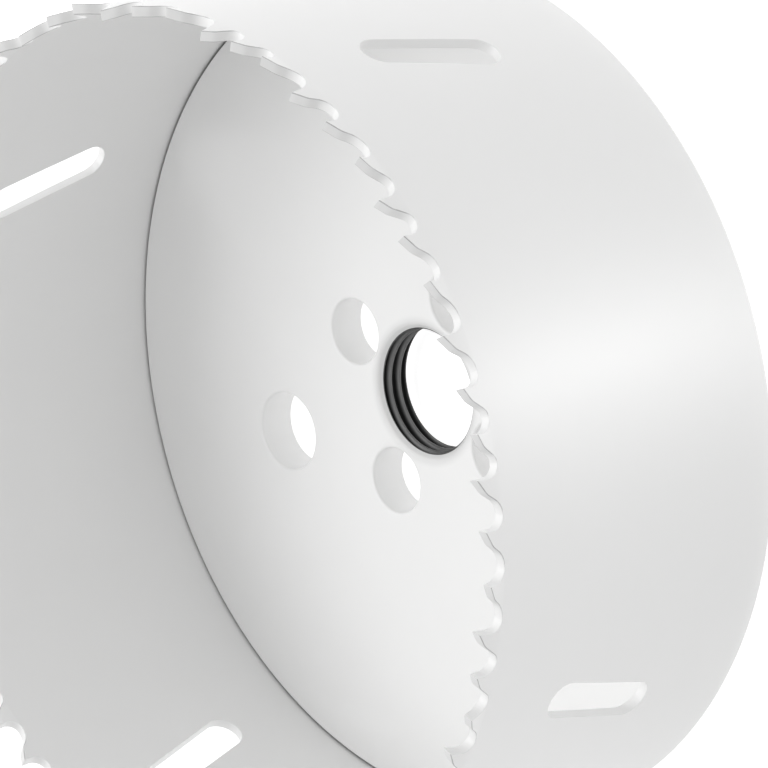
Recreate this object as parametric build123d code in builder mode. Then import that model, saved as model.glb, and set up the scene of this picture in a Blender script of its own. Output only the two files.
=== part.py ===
"""Hole saw for a 102 mm hole: a rolled, toothed steel wall welded round a threaded backing plate.

Millimetres. The axis is Z, the back face of the plate lies on Z = 0 and the teeth point up.
"""
import os
from math import cos, radians, sin, tan

from build123d import *

# Cup
cutting_diameter = 102.0     # over the tips of the teeth that lean outward
overall_height = 44.0        # back face to tooth tips
wall_thickness = 1.2         # rolled strip
back_corner_height = 1.8     # rounded off in two bevels, from here down to the inner edge
back_corner_knee = (0.33, 0.72)   # where the bevels meet: in from the outside, above the back

# Teeth
tooth_count = 60
tooth_set = 0.6              # sideways lean of a set tooth at its tip
gullet_depth = 2.5
gullet_radius = 1.4
rake_angle = 3.0             # undercut of the cutting face
relief_angle = 28.0          # slope just behind the tip
relief_share = 0.3           # of the step between two teeth
flank_angle = 50.0           # slope from there to the sweep of the gullet
first_tooth_angle = -46.1    # direction of one straight tooth
pitch_pattern = (1.096, 1.090, 1.230, 1.284, 1.300)   # relative steps, repeated round the rim

# Chip slots
slot_count = 4
slot_length = 16.7
slot_width = 4.5
slot_height = 23.2           # middle of the slot above the back face
slot_tilt = 16.4             # lean of the slot from the axis
slot_angle = -1.7            # direction of the first slot

# Backing plate
plate_thickness = 4.8
dish_diameter = 68.0         # flat middle of the front face, which rises from here to the rim
rim_rise = 0.45              # rim above the flat middle
rim_groove_width = 0.25      # open gap between the front of the plate's edge and the wall
rim_groove_depth = 1.2
seat_clearance = 0.05        # between the plate's edge and the wall, filled by the weld
bore_diameter = 15.875       # root of the 5/8-18 arbor thread
bore_chamfer = 0.2
pin_hole_count = 4
pin_hole_diameter = 7.75
pin_circle_diameter = 25.4
ejection_hole_count = 2
ejection_hole_diameter = 9.3
ejection_circle_diameter = 51.0
ejection_hole_angle = 135.0

wall_outer_radius = cutting_diameter / 2 - tooth_set
wall_inner_radius = wall_outer_radius - wall_thickness
gullet_level = overall_height - gullet_depth


def facing(angle):
    """Plane through the axis that looks outward at this angle, its Y axis pointing up."""
    tangent = (-sin(radians(angle)), cos(radians(angle)), 0)
    outward = (cos(radians(angle)), sin(radians(angle)), 0)
    return Plane(origin=(0, 0, 0), x_dir=tangent, z_dir=outward)


# ---------------------------------------------------------------- rim of teeth
# Every tooth is a radial prism. Its cutting face looks toward increasing angle. Its back falls
# first by the relief, then by the steeper flank, and sweeps into the gullet of the tooth behind.
# The tips follow straight, outward, inward.
steps = [pitch_pattern[index % len(pitch_pattern)] for index in range(tooth_count)]
step_angles = [360 * step / sum(steps) for step in steps]
tooth_angles = [first_tooth_angle - sum(step_angles[:index]) for index in range(tooth_count)]

gullet_centre_level = gullet_level + gullet_radius
rake_foot = -(overall_height - gullet_centre_level) * tan(radians(rake_angle))
gullet_offset = rake_foot + gullet_radius / cos(radians(rake_angle))
root_level = gullet_level - wall_thickness / 2
flank_slope = tan(radians(flank_angle))

tooth_rows = []
for first, lean in ((0, 0.0), (1, tooth_set), (2, -tooth_set)):
    with BuildPart() as tooth_row:
        for index in range(first, tooth_count, 3):
            step = wall_outer_radius * sin(radians(step_angles[index]))
            relief_length = relief_share * step
            relief_drop = relief_length * tan(radians(relief_angle))
            back_reach = step - gullet_offset
            flank_run = back_reach - relief_length
            flank_drop = gullet_depth - relief_drop
            sweep_radius = (flank_run * flank_slope - flank_drop) / (1 / cos(radians(flank_angle)) - 1)
            with BuildSketch(facing(tooth_angles[index]).offset(wall_inner_radius - 2)):
                with BuildLine():
                    back_arc = CenterArc(
                        (-back_reach, gullet_level + sweep_radius), sweep_radius, -90, flank_angle
                    )
                    front_arc = CenterArc(
                        (gullet_offset, gullet_centre_level), gullet_radius, 180 + rake_angle,
                        90 - rake_angle
                    )
                    Polyline(
                        back_arc @ 1, (-relief_length, overall_height - relief_drop),
                        (0, overall_height), front_arc @ 0
                    )
                    Polyline(
                        front_arc @ 1, (gullet_offset, root_level), (-back_reach, root_level),
                        back_arc @ 0
                    )
                make_face()
            extrude(amount=wall_thickness + 4)
        with BuildSketch(Plane.XZ):
            with BuildLine():
                Polyline(
                    (wall_inner_radius, root_level),
                    (wall_outer_radius, root_level),
                    (wall_outer_radius, gullet_level),
                    (wall_outer_radius + lean, overall_height),
                    (wall_inner_radius + lean, overall_height),
                    (wall_inner_radius, gullet_level),
                    close=True,
                )
            make_face()
        revolve(axis=Axis.Z, mode=Mode.INTERSECT)
    tooth_rows.append(tooth_row.part)

# ---------------------------------------------------------------- toothed wall
with BuildPart() as toothed_wall:
    with BuildSketch(Plane.XZ):
        with BuildLine():
            Polyline(
                (wall_inner_radius, 0),
                (wall_outer_radius - back_corner_knee[0], back_corner_knee[1]),
                (wall_outer_radius, back_corner_height),
                (wall_outer_radius, gullet_level),
                (wall_inner_radius, gullet_level),
                close=True,
            )
        make_face()
    revolve(axis=Axis.Z)
    for row in tooth_rows:
        add(row)
    for index in range(slot_count):
        slot_direction = slot_angle + 360 * index / slot_count
        with BuildSketch(facing(slot_direction).offset(wall_inner_radius - 2)):
            with Locations((0, slot_height)):
                SlotOverall(slot_length, slot_width, rotation=90 - slot_tilt)
        extrude(amount=wall_thickness + 4, mode=Mode.SUBTRACT)

toothed_wall.part.label = "toothed_wall"

# ---------------------------------------------------------------- backing plate
plate_radius = wall_inner_radius - seat_clearance
rim_radius = plate_radius - rim_groove_width
rim_level = plate_thickness + rim_rise

with BuildPart() as backing_plate:
    with BuildSketch(Plane.XZ):
        with BuildLine():
            Polyline(
                (0, 0),
                (plate_radius, 0),
                (plate_radius, rim_level - rim_groove_depth),
                (rim_radius, rim_level - rim_groove_depth),
                (rim_radius, rim_level),
                (dish_diameter / 2, plate_thickness),
                (0, plate_thickness),
                close=True,
            )
        make_face()
    revolve(axis=Axis.Z)
    with BuildSketch(Plane.XY):
        Circle(bore_diameter / 2)
    extrude(amount=plate_thickness, mode=Mode.SUBTRACT)
    bore_edges = backing_plate.edges().filter_by(GeomType.CIRCLE).filter_by(
        lambda edge: abs(edge.radius - bore_diameter / 2) < 0.01
    )
    chamfer(bore_edges, bore_chamfer)
    with BuildSketch(Plane.XY):
        with PolarLocations(pin_circle_diameter / 2, pin_hole_count):
            Circle(pin_hole_diameter / 2)
    extrude(amount=plate_thickness, mode=Mode.SUBTRACT)
    with BuildSketch(Plane.XY):
        with PolarLocations(ejection_circle_diameter / 2, ejection_hole_count, ejection_hole_angle):
            Circle(ejection_hole_diameter / 2)
    extrude(amount=plate_thickness, mode=Mode.SUBTRACT)

backing_plate.part.label = "backing_plate"

os.makedirs("parts", exist_ok=True)
export_step(toothed_wall.part, "parts/toothed_wall.step")
export_step(backing_plate.part, "parts/backing_plate.step")
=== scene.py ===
import math

import bmesh
import bpy
from mathutils import Matrix, Vector


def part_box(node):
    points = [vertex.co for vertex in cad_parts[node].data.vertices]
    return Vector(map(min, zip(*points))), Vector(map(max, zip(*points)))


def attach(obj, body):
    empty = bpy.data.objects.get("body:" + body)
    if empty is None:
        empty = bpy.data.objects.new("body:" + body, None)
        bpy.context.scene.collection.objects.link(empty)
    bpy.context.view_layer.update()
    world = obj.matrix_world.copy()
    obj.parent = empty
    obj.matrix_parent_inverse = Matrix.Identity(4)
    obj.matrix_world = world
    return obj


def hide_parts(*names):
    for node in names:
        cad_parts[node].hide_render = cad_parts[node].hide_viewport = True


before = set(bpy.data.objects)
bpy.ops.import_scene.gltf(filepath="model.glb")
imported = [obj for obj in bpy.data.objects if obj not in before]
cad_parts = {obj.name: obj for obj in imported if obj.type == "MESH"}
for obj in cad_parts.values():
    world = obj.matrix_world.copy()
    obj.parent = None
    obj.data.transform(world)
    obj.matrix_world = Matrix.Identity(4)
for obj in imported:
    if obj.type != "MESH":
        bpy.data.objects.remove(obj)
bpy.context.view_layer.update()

# ---------------------------------------------------------------------------
# Toothed wall. A strip of bi-metal steel with the teeth and chip slots cut in it,
# rolled into a ring, butt-welded and coated white. The plate is welded into its back end.
# ---------------------------------------------------------------------------
CUTTING_DIAMETER = 102.0
SAW_HEIGHT = round(1000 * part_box("toothed_wall")[1].z, 3)
STRIP_THICKNESS = 1.2
TOOTH_SET = 0.6
SET_ORDER = (0.0, TOOTH_SET, -TOOTH_SET)    # straight, outward, inward
WALL_OUTER = CUTTING_DIAMETER / 2 - TOOTH_SET
WALL_INNER = WALL_OUTER - STRIP_THICKNESS
BACK_CORNER_HEIGHT = 1.8

TOOTH_COUNT = 60
TOOTH_STEPS = (1.096, 1.090, 1.230, 1.284, 1.300)    # shares of the run that repeats round the rim
FIRST_TOOTH = -136.1    # degrees round the saw
GULLET_DEPTH = 2.5
GULLET_RADIUS = 1.4
RAKE = math.radians(3.0)
RELIEF = math.radians(28.0)
RELIEF_SHARE = 0.3      # of the step between two teeth
FLANK = math.radians(50.0)
HEEL_EASE = 0.35        # how far the rounding reaches where the relief meets the flank
TIP_EASE = 0.08
SET_CURVE = 1.4         # above 1, most of the set comes near the tip
GULLET_LEVEL = SAW_HEIGHT - GULLET_DEPTH
GULLET_CENTRE = GULLET_LEVEL + GULLET_RADIUS
GULLET_OFFSET = GULLET_RADIUS / math.cos(RAKE) - (SAW_HEIGHT - GULLET_CENTRE) * math.tan(RAKE)

SLOT_COUNT = 4
SLOT_LENGTH = 16.7
SLOT_WIDTH = 4.5
SLOT_HEIGHT = 23.2
SLOT_TILT = math.radians(16.4)
SLOT_ANGLE = -1.7       # degrees round the saw

STRIP_EDGE = 0.08       # softened edge under the coating
BEND_STEP = 1.5         # degrees of wall between two bends of the mesh
SET_LEVELS = (0.0, 0.3, 0.65, 1.05, 1.5, 2.0)    # bends of the set, above the gullets
WALL_LEVELS = (36.0, 4.0, 1.2, 0.5)              # bends lower down, most in the back corner
BACK_TURN = -0.02       # cut faces turned further back than this are backs of teeth, which get painted shade


def arc(centre, radius, start, end, points):
    """Points along an arc in the flat sheet, ends included, angles in degrees."""
    found = []
    for i in range(points):
        angle = math.radians(start + (end - start) * i / (points - 1))
        found.append((centre[0] + radius * math.cos(angle), centre[1] + radius * math.sin(angle)))
    return found


def placed(name, data):
    """A new object with this mesh, curve, lamp or camera, put in the scene."""
    piece = bpy.data.objects.new(name, data)
    bpy.context.scene.collection.objects.link(piece)
    return piece


def finished_mesh(maker):
    """The mesh that a curve or a piece with modifiers comes to. The maker itself is removed."""
    bpy.context.view_layer.update()
    made = maker.evaluated_get(bpy.context.evaluated_depsgraph_get())
    mesh = bpy.data.meshes.new_from_object(made)
    bpy.data.objects.remove(maker)
    return mesh


def cut_sheet(name, loops, thickness, edge):
    """A flat sheet in millimetres with these outlines, the first one outside and the rest holes,
    its edges rounded. Z is its thickness, from minus half to plus half."""
    flat = bpy.data.curves.new(name, "CURVE")
    flat.dimensions = "2D"
    flat.fill_mode = "BOTH"
    flat.extrude = thickness / 2 - edge
    flat.bevel_depth = edge
    flat.bevel_resolution = 2
    flat.offset = -edge
    for loop in loops:
        run = flat.splines.new("POLY")
        run.points.add(len(loop) - 1)
        for point, (x, y) in zip(run.points, loop):
            point.co = (x, y, 0, 1)
        run.use_cyclic_u = True
    mesh = finished_mesh(placed(name + "_flat", flat))
    bpy.data.curves.remove(flat)
    mesh.name = name
    return mesh


def eased(corner, arrive, leave, reach, points):
    """A corner of the outline rounded off, given the headings in radians before and after it."""
    start = (corner[0] - reach * math.cos(arrive), corner[1] - reach * math.sin(arrive))
    end = (corner[0] + reach * math.cos(leave), corner[1] + reach * math.sin(leave))
    found = []
    for i in range(points):
        t = i / (points - 1)
        weights = ((1 - t) ** 2, 2 * t * (1 - t), t ** 2)
        pulls = list(zip(weights, (start, corner, end)))
        found.append(tuple(sum(w * place[axis] for w, place in pulls) for axis in (0, 1)))
    return found


def tooth_shape(share):
    """One tooth of the flat strip, measured from its tip, for this share of the rim in radians:
    the sweep up from the gullet behind, the flank, relief and tip, and the gullet in front."""
    land = RELIEF_SHARE * WALL_OUTER * share
    drop = land * math.tan(RELIEF)
    back = WALL_OUTER * share - GULLET_OFFSET
    rise = (back - land) * math.tan(FLANK) - (GULLET_DEPTH - drop)
    sweep = rise / (1 / math.cos(FLANK) - 1)
    rake_end = 180 + math.degrees(RAKE)
    shape = arc((-back, GULLET_LEVEL + sweep), sweep, -90, math.degrees(FLANK) - 90, 8)
    shape += eased((-land, SAW_HEIGHT - drop), FLANK, RELIEF, HEEL_EASE, 5)
    shape += eased((0.0, SAW_HEIGHT), RELIEF, -math.pi / 2 - RAKE, TIP_EASE, 3)
    shape += arc((GULLET_OFFSET, GULLET_CENTRE), GULLET_RADIUS, rake_end, 270, 9)[:-1]
    return shape


def toothed_edge():
    """The toothed edge along the whole strip, with the end and the set of each tooth."""
    steps = [TOOTH_STEPS[i % len(TOOTH_STEPS)] for i in range(TOOTH_COUNT)]
    whole = sum(steps)
    teeth = []
    angle = math.radians(FIRST_TOOTH)
    for i, step in enumerate(steps):
        share = 2 * math.pi * step / whole
        tip = WALL_OUTER * angle
        shape = [(tip + x, z) for x, z in tooth_shape(share)]
        teeth.append((tip + GULLET_OFFSET, SET_ORDER[i % 3], shape))
        angle -= share
    teeth.reverse()
    edge = [point for _, _, shape in teeth for point in shape]
    edge.append((teeth[-1][0], GULLET_LEVEL))
    return edge, [(end, side) for end, side, _ in teeth]


def slot_outline(angle):
    """One slanted chip slot with round ends, as a loop in the strip."""
    middle = WALL_OUTER * math.radians(angle)
    half = (SLOT_LENGTH - SLOT_WIDTH) / 2
    loop = arc((half, 0), SLOT_WIDTH / 2, -90, 90, 15)
    loop += arc((-half, 0), SLOT_WIDTH / 2, 90, 270, 15)
    lean, rise = math.sin(SLOT_TILT), math.cos(SLOT_TILT)
    return [(middle + x * lean - y * rise, SLOT_HEIGHT + x * rise + y * lean) for x, y in loop]


def bend_wall(mesh, sets, start, end):
    """Rolls the flat strip into the ring and sets each tooth to its own side. The backs of the
    teeth take material 1 and the rounded edges along them material 2, both with painted shade, the
    edges darker."""
    strip = bmesh.new()
    strip.from_mesh(mesh)
    cuts = [(GULLET_LEVEL + level, (0, 1, 0)) for level in SET_LEVELS]
    cuts += [(level, (0, 1, 0)) for level in WALL_LEVELS]
    bends = int(round(math.degrees((end - start) / WALL_OUTER) / BEND_STEP))
    cuts += [(start + (end - start) * i / bends, (1, 0, 0)) for i in range(1, bends)]
    for reach, direction in cuts:
        bmesh.ops.bisect_plane(
            strip,
            geom=strip.verts[:] + strip.edges[:] + strip.faces[:],
            dist=1e-5,
            plane_co=Vector(direction) * reach,
            plane_no=direction,
        )
    for face in strip.faces:
        height, depth = face.calc_center_median().yz
        if height > GULLET_LEVEL and face.normal.x < BACK_TURN:
            face.material_index = 1 if abs(depth) < STRIP_THICKNESS / 2 - STRIP_EDGE else 2
    corner = (STRIP_THICKNESS ** 2 + BACK_CORNER_HEIGHT ** 2) / (2 * STRIP_THICKNESS)
    for vert in strip.verts:
        x, z, depth = vert.co
        lean = next((side for edge, side in sets if x <= edge + 1e-6), sets[-1][1])
        lift = max(0.0, (z - GULLET_LEVEL) / GULLET_DEPTH) ** SET_CURVE
        share = (depth + STRIP_THICKNESS / 2) / STRIP_THICKNESS
        outer = WALL_OUTER
        if z < BACK_CORNER_HEIGHT:
            outer -= corner - math.sqrt(max(0.0, corner ** 2 - (BACK_CORNER_HEIGHT - z) ** 2))
        radius = WALL_INNER + share * (outer - WALL_INNER) + lean * lift
        angle = x / WALL_OUTER
        vert.co = Vector((radius * math.cos(angle), radius * math.sin(angle), z)) / 1000
    bmesh.ops.recalc_face_normals(strip, faces=strip.faces[:])
    strip.to_mesh(mesh)
    strip.free()


WHITE = (0.86, 0.86, 0.857)


def white_coat(name, darkest_share=0.985, clouds=60):
    """Semi-matt white coating with fine orange peel, clouded down to this share of the white."""
    coat = bpy.data.materials.new(name)
    coat.use_nodes = True
    nodes, links = coat.node_tree.nodes, coat.node_tree.links
    shader = nodes["Principled BSDF"]
    place = nodes.new("ShaderNodeTexCoord")

    cloud = nodes.new("ShaderNodeTexNoise")
    cloud.inputs["Scale"].default_value = clouds
    cloud.inputs["Detail"].default_value = 4
    tint = nodes.new("ShaderNodeValToRGB")
    tint.color_ramp.elements[0].position = 0.3
    tint.color_ramp.elements[0].color = [c * darkest_share for c in WHITE] + [1]
    tint.color_ramp.elements[1].position = 0.7
    tint.color_ramp.elements[1].color = [*WHITE, 1]
    links.new(place.outputs["Object"], cloud.inputs["Vector"])
    links.new(cloud.outputs["Fac"], tint.inputs["Fac"])
    links.new(tint.outputs["Color"], shader.inputs["Base Color"])

    gloss = nodes.new("ShaderNodeMapRange")
    gloss.inputs["To Min"].default_value = 0.36
    gloss.inputs["To Max"].default_value = 0.46
    links.new(cloud.outputs["Fac"], gloss.inputs["Value"])
    links.new(gloss.outputs["Result"], shader.inputs["Roughness"])

    grain = nodes.new("ShaderNodeTexNoise")
    grain.inputs["Scale"].default_value = 1400
    grain.inputs["Detail"].default_value = 3
    skin = nodes.new("ShaderNodeBump")
    skin.inputs["Strength"].default_value = 0.25
    skin.inputs["Distance"].default_value = 0.00002
    links.new(place.outputs["Object"], grain.inputs["Vector"])
    links.new(grain.outputs["Fac"], skin.inputs["Height"])
    links.new(skin.outputs["Normal"], shader.inputs["Normal"])
    return coat


def with_painted_shade(coat, axes, begin, full, share):
    """Paints shade into a material: darkens it to this share of its tone between two distances
    in millimetres from the origin, measured along these axes only."""
    nodes, links = coat.node_tree.nodes, coat.node_tree.links
    measure = nodes.new("ShaderNodeMapping")
    measure.inputs["Scale"].default_value = [1000 * axis for axis in axes]
    reach = nodes.new("ShaderNodeVectorMath")
    reach.operation = "LENGTH"
    level = nodes.new("ShaderNodeMapRange")
    level.interpolation_type = "SMOOTHSTEP"
    level.inputs["From Min"].default_value = begin
    level.inputs["From Max"].default_value = full
    level.inputs["To Min"].default_value = 1.0
    level.inputs["To Max"].default_value = share
    shade = nodes.new("ShaderNodeVectorMath")
    shade.operation = "SCALE"
    links.new(nodes["Texture Coordinate"].outputs["Object"], measure.inputs["Vector"])
    links.new(measure.outputs["Vector"], reach.inputs[0])
    links.new(reach.outputs["Value"], level.inputs["Value"])
    links.new(nodes["Color Ramp"].outputs["Color"], shade.inputs[0])
    links.new(level.outputs["Result"], shade.inputs["Scale"])
    links.new(shade.outputs["Vector"], nodes["Principled BSDF"].inputs["Base Color"])
    return coat


def smooth_sheet(piece):
    """Shades the rounded edges smooth while the broad faces stay true."""
    for face in piece.data.polygons:
        face.use_smooth = True
    piece.data.set_sharp_from_angle(angle=math.radians(38))
    even = piece.modifiers.new("even", "WEIGHTED_NORMAL")
    even.weight = 90
    even.keep_sharp = True


top_edge, tooth_sets = toothed_edge()
strip_start, strip_end = top_edge[0][0], top_edge[-1][0]
strip_outline = [(strip_start, 0.0)] + top_edge + [(strip_end, 0.0)]
quarter = 360 / SLOT_COUNT
start_angle = math.degrees(strip_start / WALL_OUTER)
first_slot = SLOT_ANGLE + quarter * math.ceil((start_angle - SLOT_ANGLE) / quarter)
strip_slots = [slot_outline(first_slot + quarter * i) for i in range(SLOT_COUNT)]
wall_mesh = cut_sheet("wall", [strip_outline] + strip_slots, STRIP_THICKNESS, STRIP_EDGE)
bend_wall(wall_mesh, tooth_sets, strip_start, strip_end)
wall = placed("rolled_wall", wall_mesh)
smooth_sheet(wall)

UPWARD = (0, 0, 1)
# Painted shade: the backs of the teeth are darker than the wall and darken further towards the
# tips; their rounded edges are darker still.
BACKS_SHADE = {"begin": GULLET_LEVEL + 0.1, "full": GULLET_LEVEL + 1.0, "share": 0.86}
EDGE_SHADE = {"begin": GULLET_LEVEL + 0.1, "full": GULLET_LEVEL + 0.7, "share": 0.7}
shaded_tooth_backs = white_coat("shaded_tooth_backs", darkest_share=0.95, clouds=300)
dark_back_edge = white_coat("dark_back_edge", darkest_share=0.6, clouds=700)
wall.data.materials.append(white_coat("wall_white"))
wall.data.materials.append(with_painted_shade(shaded_tooth_backs, UPWARD, **BACKS_SHADE))
wall.data.materials.append(with_painted_shade(dark_back_edge, UPWARD, **EDGE_SHADE))
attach(wall, "root")
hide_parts("toothed_wall")

# ---------------------------------------------------------------------------
# Backing plate. A turned steel disc, drilled for the arbor, four drive pins and two
# ejection holes, its front slightly dished. It is welded inside the back end of the wall.
# ---------------------------------------------------------------------------
RIM_LEVEL = round(1000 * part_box("backing_plate")[1].z, 3)
RIM_RISE = 0.45
PLATE_THICKNESS = RIM_LEVEL - RIM_RISE    # inside the dish
SEAT_GAP = 0.05
GROOVE_WIDTH = 0.25
GROOVE_DEPTH = 1.2
PLATE_RADIUS = WALL_INNER - SEAT_GAP
RIM_RADIUS = PLATE_RADIUS - GROOVE_WIDTH
GROOVE_FLOOR = RIM_LEVEL - GROOVE_DEPTH
DISH_RADIUS = 34.0
TURNED_EDGE = 0.12
DRILLED_EDGE = 0.32
BORE_RADIUS = 15.875 / 2
FRONT_LIP = 8.35        # where the rounded mouth of the bore begins
LIP_ROUND = 0.9
LIP_DROP = LIP_ROUND - math.sqrt(LIP_ROUND ** 2 - (FRONT_LIP - BORE_RADIUS) ** 2)
BACK_SINK = 8.2
THREAD_TOP = PLATE_THICKNESS - LIP_DROP
THREAD_BOTTOM = 0.24
PIN_CIRCLE = 25.4 / 2
PIN_HOLE_RADIUS = 7.75 / 2
EJECTION_CIRCLE = 51.0 / 2
EJECTION_HOLE_RADIUS = 9.3 / 2
EJECTION_ANGLE = 135
DRILL_PAST = 1.0        # how far a drill runs past both faces
TURN_STEPS = 360
DRILL_STEPS = 96
GROOVE_MARGIN = 0.01    # for telling the faces of the groove
FROM_AXIS = (1, 1, 0)
MOUTH_SHADE = {"begin": 9.1, "full": 7.8, "share": 0.84}    # painted shade round the mouth of the bore


def turned(name, profile, steps, middle=(0.0, 0.0), closed=True):
    """A mesh turned from (radius, height) points about an upright axis, in millimetres."""
    body = bmesh.new()
    rings = []
    for radius, height in profile:
        ring = []
        for i in range(steps):
            x = middle[0] + radius * math.cos(2 * math.pi * i / steps)
            y = middle[1] + radius * math.sin(2 * math.pi * i / steps)
            ring.append(body.verts.new((x, y, height)))
        rings.append(ring)
    stack = rings + [rings[0]] if closed else rings
    for low, high in zip(stack, stack[1:]):
        for i in range(steps):
            j = (i + 1) % steps
            body.faces.new((low[i], low[j], high[j], high[i]))
    if not closed:
        body.faces.new(rings[0][::-1])
        body.faces.new(rings[-1])
    bmesh.ops.recalc_face_normals(body, faces=body.faces[:])
    mesh = bpy.data.meshes.new(name)
    body.to_mesh(mesh)
    body.free()
    return mesh


def hole_drill(name, circle, angle, radius):
    """The shape that one drilled and deburred hole takes out of the plate."""
    middle = (circle * math.cos(math.radians(angle)), circle * math.sin(math.radians(angle)))
    mouth = radius + DRILLED_EDGE
    profile = [(mouth, -DRILL_PAST)]
    profile += arc((mouth, DRILLED_EDGE), DRILLED_EDGE, 270, 180, 5)
    profile += arc((mouth, PLATE_THICKNESS - DRILLED_EDGE), DRILLED_EDGE, 180, 90, 5)
    profile += [(mouth, PLATE_THICKNESS + DRILL_PAST)]
    return turned(name, profile, DRILL_STEPS, middle, closed=False)


def bare_steel_and_shade(name, dark, light, metallic):
    """Dark steel with fine tool marks that run round the axis: the bare steel of the thread,
    and painted shade in the weld groove.
    """
    steel = bpy.data.materials.new(name)
    steel.use_nodes = True
    nodes, links = steel.node_tree.nodes, steel.node_tree.links
    shader = nodes["Principled BSDF"]
    shader.inputs["Metallic"].default_value = metallic
    place = nodes.new("ShaderNodeTexCoord")
    stretch = nodes.new("ShaderNodeMapping")
    stretch.inputs["Scale"].default_value = (300, 300, 4000)
    marks = nodes.new("ShaderNodeTexNoise")
    marks.inputs["Scale"].default_value = 1.0
    marks.inputs["Detail"].default_value = 4
    tint = nodes.new("ShaderNodeValToRGB")
    tint.color_ramp.elements[0].color = (dark, dark, dark, 1)
    tint.color_ramp.elements[1].color = (light, light, light, 1)
    rough = nodes.new("ShaderNodeMapRange")
    rough.inputs["To Min"].default_value = 0.3
    rough.inputs["To Max"].default_value = 0.45
    bump = nodes.new("ShaderNodeBump")
    bump.inputs["Strength"].default_value = 0.3
    bump.inputs["Distance"].default_value = 0.00002
    links.new(place.outputs["Object"], stretch.inputs["Vector"])
    links.new(stretch.outputs["Vector"], marks.inputs["Vector"])
    links.new(marks.outputs["Fac"], tint.inputs["Fac"])
    links.new(tint.outputs["Color"], shader.inputs["Base Color"])
    links.new(marks.outputs["Fac"], rough.inputs["Value"])
    links.new(rough.outputs["Result"], shader.inputs["Roughness"])
    links.new(marks.outputs["Fac"], bump.inputs["Height"])
    links.new(bump.outputs["Normal"], shader.inputs["Normal"])
    return steel


plate_profile = [(BACK_SINK, 0.0)]
plate_profile += arc((PLATE_RADIUS - TURNED_EDGE, TURNED_EDGE), TURNED_EDGE, -90, 0, 4)
plate_profile += [(PLATE_RADIUS, GROOVE_FLOOR), (RIM_RADIUS, GROOVE_FLOOR)]
plate_profile += arc((RIM_RADIUS - TURNED_EDGE, RIM_LEVEL - TURNED_EDGE), TURNED_EDGE, 0, 90, 4)
plate_profile += [(DISH_RADIUS, PLATE_THICKNESS)]
lip_turn = math.degrees(math.asin((FRONT_LIP - BORE_RADIUS) / LIP_ROUND))
plate_profile += arc((FRONT_LIP, PLATE_THICKNESS - LIP_ROUND), LIP_ROUND, 90, 90 + lip_turn, 6)
plate_profile += [(BORE_RADIUS, THREAD_BOTTOM)]
plate_blank = placed("plate_blank", turned("plate_blank", plate_profile, TURN_STEPS))
holes = [("pin", PIN_CIRCLE, 90 * number, PIN_HOLE_RADIUS) for number in range(4)]
for number in range(2):
    angle = EJECTION_ANGLE + 180 * number
    holes.append(("ejection", EJECTION_CIRCLE, angle, EJECTION_HOLE_RADIUS))
drills = []
for use, circle, angle, radius in holes:
    name = f"{use}_drill_{angle}"
    drill = placed(name, hole_drill(name, circle, angle, radius))
    drilling = plate_blank.modifiers.new(name, "BOOLEAN")
    drilling.operation = "DIFFERENCE"
    drilling.solver = "EXACT"
    drilling.object = drill
    drills.append(drill)
plate_mesh = finished_mesh(plate_blank)
for drill in drills:
    bpy.data.objects.remove(drill)
for vert in plate_mesh.vertices:
    vert.co = vert.co / 1000

plate = placed("drilled_plate", plate_mesh)
smooth_sheet(plate)
# The coat round the mouth of the bore is darkened as painted shade.
plate.data.materials.append(with_painted_shade(white_coat("plate_white"), FROM_AXIS, **MOUTH_SHADE))
# Painted shade: the faces of the groove between the plate's rim and the wall are near-black,
# deepening the shade in the gap.
plate.data.materials.append(bare_steel_and_shade("shaded_weld_groove", dark=0.02, light=0.05, metallic=0.2))
groove_low = GROOVE_FLOOR - GROOVE_MARGIN
groove_high = RIM_LEVEL - TURNED_EDGE + GROOVE_MARGIN
for face in plate.data.polygons:
    radius, height = face.center.xy.length * 1000, face.center.z * 1000
    if radius > RIM_RADIUS - GROOVE_MARGIN and groove_low < height < groove_high:
        face.material_index = 1
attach(plate, "root")
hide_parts("backing_plate")

# ---------------------------------------------------------------------------
# Arbor thread. A right-hand 5/8-18 thread tapped through the plate after coating, so its
# flanks are dark bare steel. The coated countersinks lead into it from both faces.
# ---------------------------------------------------------------------------
THREAD_PITCH = 25.4 / 18
THREAD_CREST = 7.15
THREAD_BEGINS = 4.35    # the groove deepens from this height down
THREAD_FULL = 4.0
THREAD_STEPS = 128
THREAD_ROWS = 132
ROOT_GAP = 0.01         # between the thread's roots and the bore of the plate
SLEEVE = 0.02           # how far the thread's sleeve is let into the plate
LEAD_SLOPE = math.radians(45.0)
BACK_LEAD = 0.95
COATED_TO = 7.45        # the countersinks are bare steel inside this radius


def front_sink(z):
    """Radius of the front countersink at this height: a rounded lip, then a plain cone."""
    knee = PLATE_THICKNESS - LIP_ROUND * (1 - math.cos(LEAD_SLOPE))
    if z > knee:
        return FRONT_LIP - math.sqrt(LIP_ROUND ** 2 - (z - PLATE_THICKNESS + LIP_ROUND) ** 2)
    return FRONT_LIP - LIP_ROUND * math.sin(LEAD_SLOPE) - (knee - z) / math.tan(LEAD_SLOPE)


def sink_radius(z):
    """Radius of whichever countersink is wider at this height."""
    back_sink = THREAD_CREST + (BACK_LEAD - z) * (BACK_SINK - THREAD_CREST) / BACK_LEAD
    return max(front_sink(z), back_sink)


def cut_radius(z, turn):
    """Radius of the thread at this height and share of a turn, its groove a smooth wave."""
    depth = min(1.0, max(0.0, (THREAD_BEGINS - z) / (THREAD_BEGINS - THREAD_FULL)))
    swing = 0.5 - 0.5 * math.cos(2 * math.pi * (z / THREAD_PITCH - turn))
    return THREAD_CREST + (BORE_RADIUS - THREAD_CREST) * swing * depth


def thread_ring(form, radii, z):
    """One ring of the thread's mesh, in metres, from these radii in millimetres."""
    ring = []
    for i, radius in enumerate(radii):
        angle = 2 * math.pi * i / THREAD_STEPS
        x, y = radius / 1000 * math.cos(angle), radius / 1000 * math.sin(angle)
        ring.append(form.verts.new((x, y, z / 1000)))
    return ring


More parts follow.
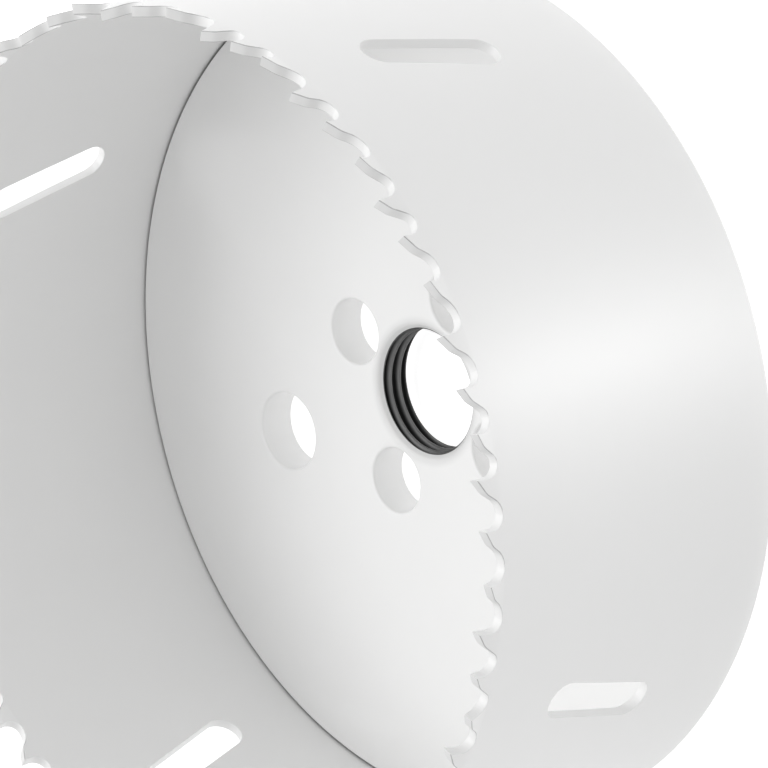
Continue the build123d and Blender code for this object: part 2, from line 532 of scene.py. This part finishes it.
thread_form = bmesh.new()
thread_rings = []
coated_rows = set()
for row in range(THREAD_ROWS + 1):
    z = THREAD_BOTTOM + (THREAD_TOP - THREAD_BOTTOM) * row / THREAD_ROWS
    sink = sink_radius(z)
    if sink > COATED_TO:
        coated_rows.add(row)
    radii = []
    for i in range(THREAD_STEPS):
        radii.append(min(max(cut_radius(z, i / THREAD_STEPS), sink), BORE_RADIUS - ROOT_GAP))
    thread_rings.append(thread_ring(thread_form, radii, z))
sleeve_radii = [BORE_RADIUS + SLEEVE] * THREAD_STEPS
sleeve_low = thread_ring(thread_form, sleeve_radii, THREAD_BOTTOM)
sleeve_high = thread_ring(thread_form, sleeve_radii, THREAD_TOP)
stack = thread_rings + [sleeve_high, sleeve_low, thread_rings[0]]
for row, (low, high) in enumerate(zip(stack, stack[1:])):
    coated = row >= THREAD_ROWS or {row, row + 1} <= coated_rows
    for i in range(THREAD_STEPS):
        j = (i + 1) % THREAD_STEPS
        face = thread_form.faces.new((low[i], high[i], high[j], low[j]))
        face.smooth = True
        face.material_index = 1 if coated else 0
bmesh.ops.recalc_face_normals(thread_form, faces=thread_form.faces[:])
thread_mesh = bpy.data.meshes.new("arbor_thread")
thread_form.to_mesh(thread_mesh)
thread_form.free()
thread = placed("arbor_thread", thread_mesh)

THREAD_SHADE = {"begin": 7.2, "full": 7.75, "share": 0.14}    # painted shade, darkest deep in the groove
thread_steel = bare_steel_and_shade("bare_thread", dark=0.11, light=0.23, metallic=0.9)
thread.data.materials.append(with_painted_shade(thread_steel, FROM_AXIS, **THREAD_SHADE))
# The coated countersinks get the same painted shade as the plate round the bore.
thread.data.materials.append(with_painted_shade(white_coat("countersink_white"), FROM_AXIS, **MOUTH_SHADE))
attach(thread, "root")

# ---------------------------------------------------------------------------
# Floor. A plain white table that the saw stands on, back face down. It is lit through
# from below, most of all under the saw.
# ---------------------------------------------------------------------------
FLOOR_HALF = 3.0
FLOOR_DROP = 0.00005    # just below the saw's back face
GLOW_INNER = 0.042      # the glow falls off between these distances from the middle
GLOW_OUTER = 0.066
GLOW_UNDER_SAW = 0.465
GLOW_OUTSIDE = 0.102
GLOW_SEEN = 0.65        # for the rays that see the floor as background


def background_rays(nodes, links):
    """One for the rays that see the background, which are the camera's and those off gloss or
    through glass, and nought for the rest."""
    path = nodes.new("ShaderNodeLightPath")
    seen = path.outputs["Is Camera Ray"]
    for kind in ("Is Glossy Ray", "Is Transmission Ray"):
        either = nodes.new("ShaderNodeMath")
        either.operation = "MAXIMUM"
        links.new(seen, either.inputs[0])
        links.new(path.outputs[kind], either.inputs[1])
        seen = either.outputs["Value"]
    return seen


floor_data = bpy.data.meshes.new("floor")
floor_data.from_pydata(
    [(x * FLOOR_HALF, y * FLOOR_HALF, 0) for x, y in ((-1, -1), (1, -1), (1, 1), (-1, 1))],
    [],
    [(0, 1, 2, 3)],
)
floor = placed("floor", floor_data)
floor.location.z = -FLOOR_DROP
table = bpy.data.materials.new("white_table")
table.use_nodes = True
table_nodes, table_links = table.node_tree.nodes, table.node_tree.links
table_shader = table_nodes["Principled BSDF"]
table_shader.inputs["Base Color"].default_value = (0.8, 0.8, 0.8, 1)
table_shader.inputs["Roughness"].default_value = 0.8
table_shader.inputs["Emission Color"].default_value = (1, 1, 1, 1)
table_place = table_nodes.new("ShaderNodeTexCoord")
table_reach = table_nodes.new("ShaderNodeVectorMath")
table_reach.operation = "LENGTH"
table_under = table_nodes.new("ShaderNodeMapRange")
table_under.inputs["From Min"].default_value = GLOW_INNER
table_under.inputs["From Max"].default_value = GLOW_OUTER
table_under.inputs["To Min"].default_value = GLOW_UNDER_SAW
table_under.inputs["To Max"].default_value = GLOW_OUTSIDE
table_links.new(table_place.outputs["Object"], table_reach.inputs[0])
table_links.new(table_reach.outputs["Value"], table_under.inputs["Value"])
table_glow = table_nodes.new("ShaderNodeMapRange")
table_glow.inputs["To Max"].default_value = GLOW_SEEN
table_links.new(table_under.outputs["Result"], table_glow.inputs["To Min"])
table_links.new(background_rays(table_nodes, table_links), table_glow.inputs["Value"])
table_links.new(table_glow.outputs["Result"], table_shader.inputs["Emission Strength"])
floor.data.materials.append(table)

# ---------------------------------------------------------------------------
# Studio. Soft even light all round, a large soft lamp overhead, a smaller share from the
# side and a narrow strip of light close to the outside of the wall.
# ---------------------------------------------------------------------------
WORLD_LIGHT = 0.74
BACKGROUND_LIGHT = 1.0
LAMP_AIM = Vector((0, 0, 0.02))
world = bpy.data.worlds.new("studio")
bpy.context.scene.world = world
world.use_nodes = True
world_nodes, world_links = world.node_tree.nodes, world.node_tree.links
backdrop = world_nodes["Background"]
backdrop.inputs["Color"].default_value = (1, 1, 1, 1)
world_level = world_nodes.new("ShaderNodeMapRange")
world_level.inputs["To Min"].default_value = WORLD_LIGHT
world_level.inputs["To Max"].default_value = BACKGROUND_LIGHT
world_links.new(background_rays(world_nodes, world_links), world_level.inputs["Value"])
world_links.new(world_level.outputs["Result"], backdrop.inputs["Strength"])


def soft_lamp(name, azimuth, elevation, distance, width, height, power):
    """A soft box aimed at the middle of the saw, its angles in degrees and sizes in metres. The
    camera does not see it."""
    lamp = bpy.data.lights.new(name, "AREA")
    lamp.shape = "RECTANGLE"
    lamp.size = width
    lamp.size_y = height
    lamp.energy = power
    holder = placed(name, lamp)
    a, e = math.radians(azimuth), math.radians(elevation)
    away = Vector((math.cos(e) * math.cos(a), math.cos(e) * math.sin(a), math.sin(e)))
    holder.location = LAMP_AIM + away * distance
    holder.rotation_euler = (-away).to_track_quat("-Z", "Y").to_euler()
    holder.visible_camera = False


soft_lamp("key", 105, 60, distance=1.2, width=0.7, height=0.7, power=4.8)
soft_lamp("side", 60, 35, distance=1.2, width=0.7, height=0.7, power=1.55)
soft_lamp("wall_strip", -47, 2, distance=0.064, width=0.008, height=0.044, power=0.00097)

# ---------------------------------------------------------------------------
# Camera. A long lens, high on one side, that looks past the teeth into the saw. It is rolled
# over, so that the saw is seen lying on its side.
# ---------------------------------------------------------------------------
SENSOR_WIDTH = 36.0
RENDER_WIDTH = 768      # pixels
LENS_PIXELS = 4630.7    # focal length in the same pixels
CAMERA_PLACE = (0.280188, -0.283656, 0.355550)
CAMERA_AIM = Vector((-0.002081, 0.005157, 0.005941))
CAMERA_ROLL = math.radians(-105.16)
camera_data = bpy.data.cameras.new("camera")
camera_data.sensor_width = SENSOR_WIDTH
camera_data.lens = SENSOR_WIDTH * LENS_PIXELS / RENDER_WIDTH
camera_data.clip_start = 0.05
camera = placed("camera", camera_data)
camera.location = CAMERA_PLACE
looking = (CAMERA_AIM - camera.location).to_track_quat("-Z", "Y").to_matrix()
camera.rotation_euler = (looking @ Matrix.Rotation(CAMERA_ROLL, 3, "Z")).to_euler()
bpy.context.scene.camera = camera
bpy.context.scene.view_settings.view_transform = "Standard"
